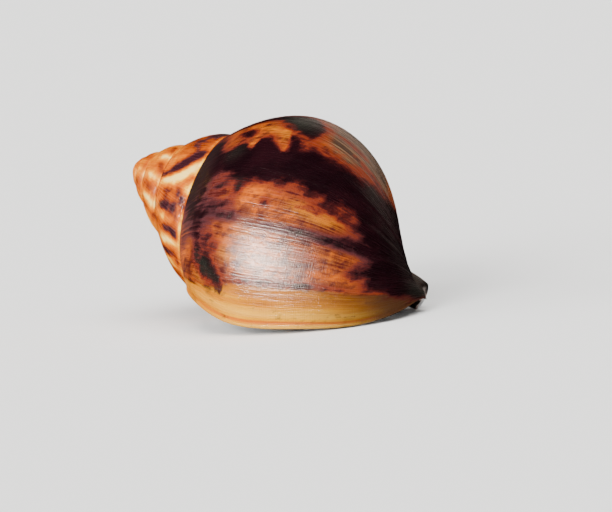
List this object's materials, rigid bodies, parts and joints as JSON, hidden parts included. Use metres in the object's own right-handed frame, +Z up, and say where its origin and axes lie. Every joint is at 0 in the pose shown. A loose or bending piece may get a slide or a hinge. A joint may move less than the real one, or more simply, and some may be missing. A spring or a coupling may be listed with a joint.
{
  "type": "giant african snail shell",
  "caption": "Empty spiral land-snail shell lying on its open mouth, with a short pointed spire, a broad rounded last whorl and a thin curved lip.",
  "frame": {"origin": "middle of the shell's box, at the height of the surface that it rests on, mouth down", "axes": "+Z up; +X along the shell from the tip towards the base, level; the outer lip's free side lies towards -Y"},
  "size_m": [0.0562, 0.0424, 0.0333],
  "materials": {
    "shell": "glossy, rust and orange with near-black maroon bands and flames, cream spire, porcelain white inside"
  },
  "bodies": {
    "root": {"shell": "shell"}
  },
  "joints": []
}
